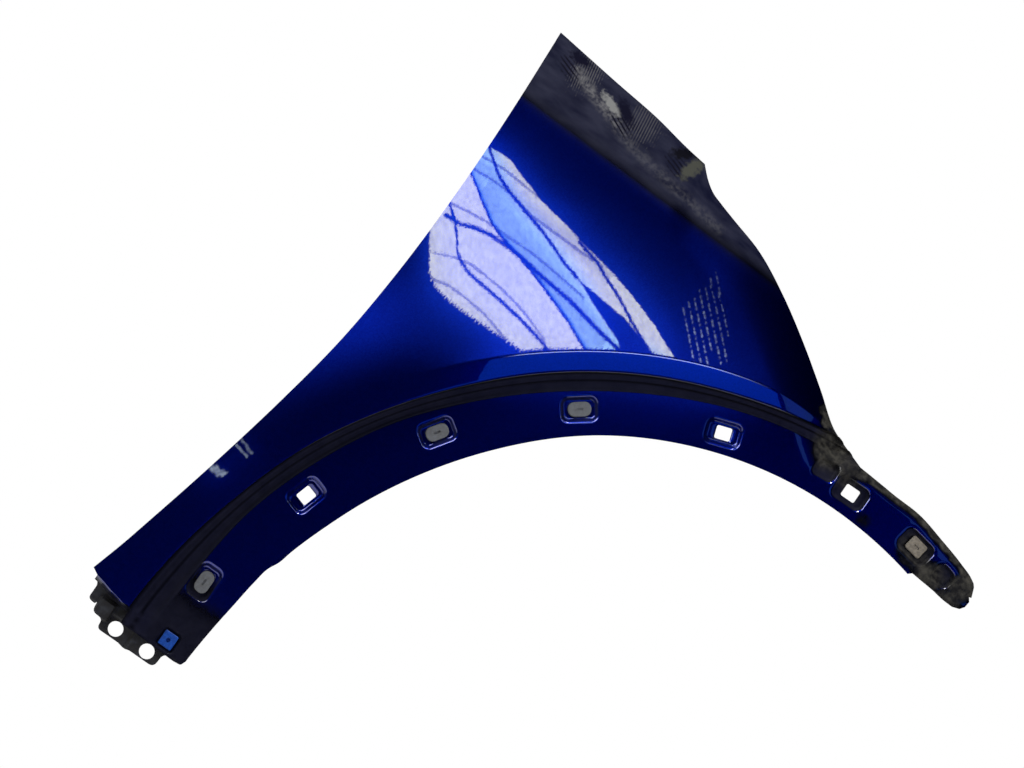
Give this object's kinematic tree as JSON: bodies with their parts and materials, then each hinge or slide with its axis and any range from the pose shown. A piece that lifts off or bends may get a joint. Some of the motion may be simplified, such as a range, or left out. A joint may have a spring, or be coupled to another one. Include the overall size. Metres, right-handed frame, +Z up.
{
  "type": "car front fender",
  "caption": "Right front fender of a small car: a pressed steel panel with a wheel arch, clip pockets, grommets and a sill bracket.",
  "frame": {"origin": "On the underside of the middle hood tab, 8 mm in front of its bolt hole's centre", "axes": "The vehicle's own: +X to the front of the car, +Y inboard, +Z up. The painted outer face looks towards -Y."},
  "size_m": [0.6853, 0.1401, 0.702],
  "materials": {
    "blue_paint": "deep metallic blue with a clear coat",
    "oval_grommet": "satin grey plastic",
    "square_grommet": "satin pale grey plastic",
    "sill_clip": "satin blue plastic",
    "sill_bracket": "matt dark grey coating"
  },
  "bodies": {
    "root": {"fender_panel": "blue_paint", "oval_grommet_rear": "oval_grommet", "oval_grommet_middle": "oval_grommet", "oval_grommet_top": "oval_grommet", "square_grommet": "square_grommet", "sill_clip": "sill_clip", "sill_bracket": "sill_bracket"}
  },
  "joints": []
}
